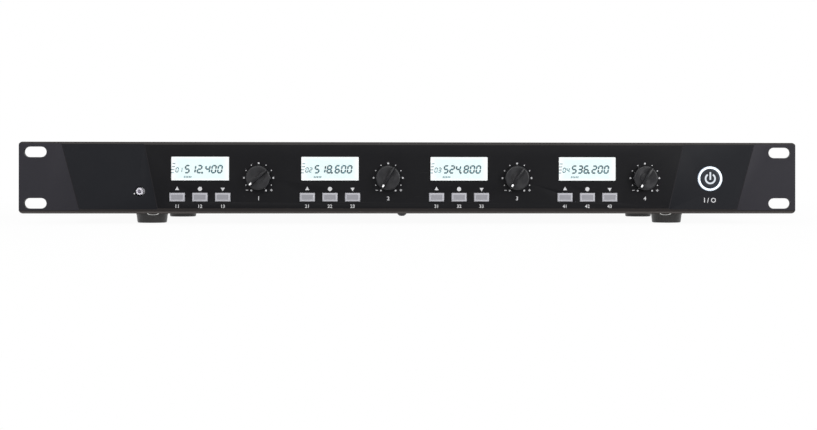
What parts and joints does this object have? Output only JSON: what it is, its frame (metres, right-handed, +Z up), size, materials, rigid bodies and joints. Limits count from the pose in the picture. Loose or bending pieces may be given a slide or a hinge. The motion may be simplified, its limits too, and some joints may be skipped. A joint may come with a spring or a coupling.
{
  "type": "wireless receiver unit",
  "caption": "One-unit-high rack wireless receiver: lit displays, press keys and volume knobs on a black front panel, steel case, feet and rear sockets.",
  "frame": {"origin": "on the table, under the middle of the whole box", "axes": "+X to the right as seen from the front, +Y from the front panel to the rear sockets, +Z up"},
  "size_m": [0.4826, 0.2284, 0.0507],
  "materials": {
    "front_panel": "satin black paint, fine texture",
    "chassis_steel": "semi-matt black powder coat",
    "window": "clear, glossy",
    "display": "lit, cool white",
    "circuit_board": "green solder mask",
    "pot_metal": "plain",
    "shaft_steel": "plain",
    "knob": "satin black",
    "key": "satin grey",
    "power_cap": "satin black",
    "power_switch": "plain",
    "light_ring": "lit, white",
    "emitter": "clear resin",
    "tuner_tin": "tinned",
    "socket_black": "black",
    "antenna_nickel": "nickel plated",
    "foot_rubber": "matt black",
    "screw_steel": "zinc plated"
  },
  "bodies": {
    "chassis": {"front_panel": "front_panel", "chassis_base": "chassis_steel", "top_cover": "chassis_steel", "display_window_1": "window", "display_window_2": "window", "display_window_3": "window", "display_window_4": "window", "display_module_1": "display", "display_module_2": "display", "display_module_3": "display", "display_module_4": "display", "front_board": "circuit_board", "main_board": "circuit_board", "volume_pot_1": "pot_metal", "volume_pot_2": "pot_metal", "volume_pot_3": "pot_metal", "volume_pot_4": "pot_metal", "power_switch": "power_switch", "power_ring": "light_ring", "sync_led": "emitter", "receiver_module_1": "tuner_tin", "receiver_module_2": "tuner_tin", "receiver_module_3": "tuner_tin", "receiver_module_4": "tuner_tin", "xlr_output_1": "socket_black", "xlr_output_2": "socket_black", "xlr_output_3": "socket_black", "xlr_output_4": "socket_black", "jack_output": "socket_black", "dc_inlet": "socket_black", "antenna_socket_1": "antenna_nickel", "antenna_socket_2": "antenna_nickel", "foot_front_left": "foot_rubber", "foot_front_right": "foot_rubber", "foot_rear_left": "foot_rubber", "foot_rear_right": "foot_rubber", "bottom_screw": "screw_steel"},
    "volume_1": {"volume_knob_1": "knob", "volume_shaft_1": "shaft_steel"},
    "volume_2": {"volume_knob_2": "knob", "volume_shaft_2": "shaft_steel"},
    "volume_3": {"volume_knob_3": "knob", "volume_shaft_3": "shaft_steel"},
    "volume_4": {"volume_knob_4": "knob", "volume_shaft_4": "shaft_steel"},
    "key_up_1": {"key_up_1": "key"},
    "key_set_1": {"key_set_1": "key"},
    "key_down_1": {"key_down_1": "key"},
    "key_up_2": {"key_up_2": "key"},
    "key_set_2": {"key_set_2": "key"},
    "key_down_2": {"key_down_2": "key"},
    "key_up_3": {"key_up_3": "key"},
    "key_set_3": {"key_set_3": "key"},
    "key_down_3": {"key_down_3": "key"},
    "key_up_4": {"key_up_4": "key"},
    "key_set_4": {"key_set_4": "key"},
    "key_down_4": {"key_down_4": "key"},
    "power_button": {"power_button": "power_cap"}
  },
  "joints": [
    {"name": "volume_turn_1", "type": "hinge", "parent": "chassis", "child": "volume_1", "pos_m": [-0.0941, -0.10425, 0.0285], "axis": [0, 1, 0], "range_deg": [-18.9, 281.1]},
    {"name": "volume_turn_2", "type": "hinge", "parent": "chassis", "child": "volume_2", "pos_m": [-0.014, -0.10425, 0.0285], "axis": [0, 1, 0], "range_deg": [-0.3, 299.7]},
    {"name": "volume_turn_3", "type": "hinge", "parent": "chassis", "child": "volume_3", "pos_m": [0.0661, -0.10425, 0.0285], "axis": [0, 1, 0], "range_deg": [-5.1, 294.9]},
    {"name": "volume_turn_4", "type": "hinge", "parent": "chassis", "child": "volume_4", "pos_m": [0.1462, -0.10425, 0.0285], "axis": [0, 1, 0], "range_deg": [-2.1, 297.9]},
    {"name": "key_up_1_press", "type": "slide", "parent": "chassis", "child": "key_up_1", "axis": [0, 1, 0], "range_m": [0, 0.0005], "stiffness_N_per_m": 400},
    {"name": "key_set_1_press", "type": "slide", "parent": "chassis", "child": "key_set_1", "axis": [0, 1, 0], "range_m": [0, 0.0005], "stiffness_N_per_m": 400},
    {"name": "key_down_1_press", "type": "slide", "parent": "chassis", "child": "key_down_1", "axis": [0, 1, 0], "range_m": [0, 0.0005], "stiffness_N_per_m": 400},
    {"name": "key_up_2_press", "type": "slide", "parent": "chassis", "child": "key_up_2", "axis": [0, 1, 0], "range_m": [0, 0.0005], "stiffness_N_per_m": 400},
    {"name": "key_set_2_press", "type": "slide", "parent": "chassis", "child": "key_set_2", "axis": [0, 1, 0], "range_m": [0, 0.0005], "stiffness_N_per_m": 400},
    {"name": "key_down_2_press", "type": "slide", "parent": "chassis", "child": "key_down_2", "axis": [0, 1, 0], "range_m": [0, 0.0005], "stiffness_N_per_m": 400},
    {"name": "key_up_3_press", "type": "slide", "parent": "chassis", "child": "key_up_3", "axis": [0, 1, 0], "range_m": [0, 0.0005], "stiffness_N_per_m": 400},
    {"name": "key_set_3_press", "type": "slide", "parent": "chassis", "child": "key_set_3", "axis": [0, 1, 0], "range_m": [0, 0.0005], "stiffness_N_per_m": 400},
    {"name": "key_down_3_press", "type": "slide", "parent": "chassis", "child": "key_down_3", "axis": [0, 1, 0], "range_m": [0, 0.0005], "stiffness_N_per_m": 400},
    {"name": "key_up_4_press", "type": "slide", "parent": "chassis", "child": "key_up_4", "axis": [0, 1, 0], "range_m": [0, 0.0005], "stiffness_N_per_m": 400},
    {"name": "key_set_4_press", "type": "slide", "parent": "chassis", "child": "key_set_4", "axis": [0, 1, 0], "range_m": [0, 0.0005], "stiffness_N_per_m": 400},
    {"name": "key_down_4_press", "type": "slide", "parent": "chassis", "child": "key_down_4", "axis": [0, 1, 0], "range_m": [0, 0.0005], "stiffness_N_per_m": 400},
    {"name": "power_press", "type": "slide", "parent": "chassis", "child": "power_button", "axis": [0, 1, 0], "range_m": [0, 0.0015], "stiffness_N_per_m": 600}
  ]
}
